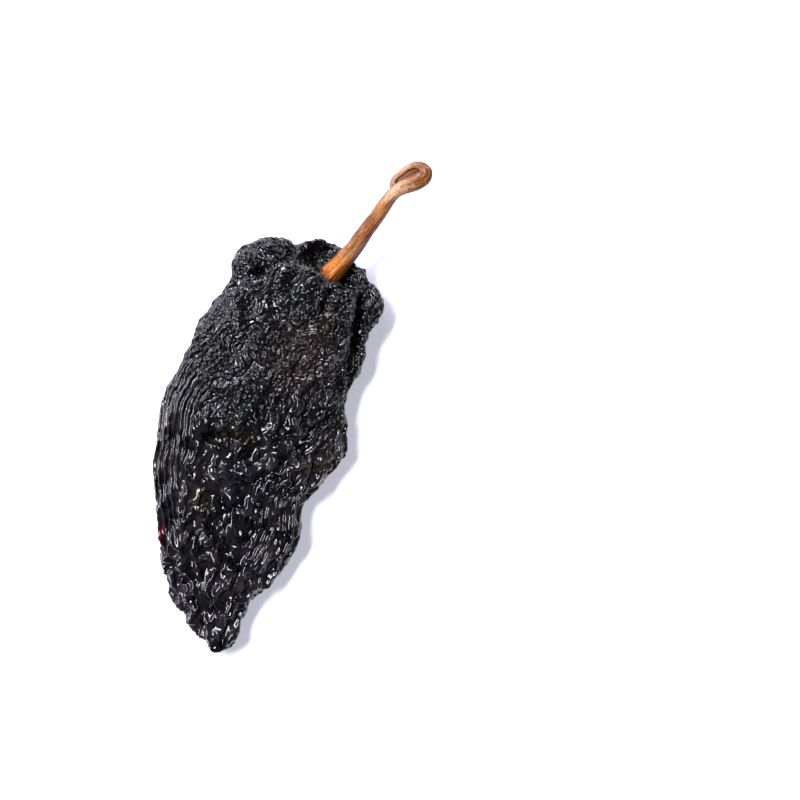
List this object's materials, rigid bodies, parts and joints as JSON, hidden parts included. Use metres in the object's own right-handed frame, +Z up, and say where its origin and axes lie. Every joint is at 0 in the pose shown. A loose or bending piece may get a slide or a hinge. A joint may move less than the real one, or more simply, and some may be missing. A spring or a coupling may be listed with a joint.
{
  "type": "ancho chili",
  "caption": "Dried, flattened chili pod with a wrinkled near-black skin, a sunken calyx and a curled stem, lying flat.",
  "frame": {"origin": "middle of the whole outline, on the surface that the chili lies on", "axes": "+Y along the chili from its tip to its stem, +Z up from the surface"},
  "size_m": [0.065, 0.157, 0.0238],
  "materials": {
    "skin": "glossy",
    "calyx": "matte",
    "stem": "matte"
  },
  "bodies": {
    "root": {"pod": "skin", "calyx": "calyx", "stem": "stem"}
  },
  "joints": []
}
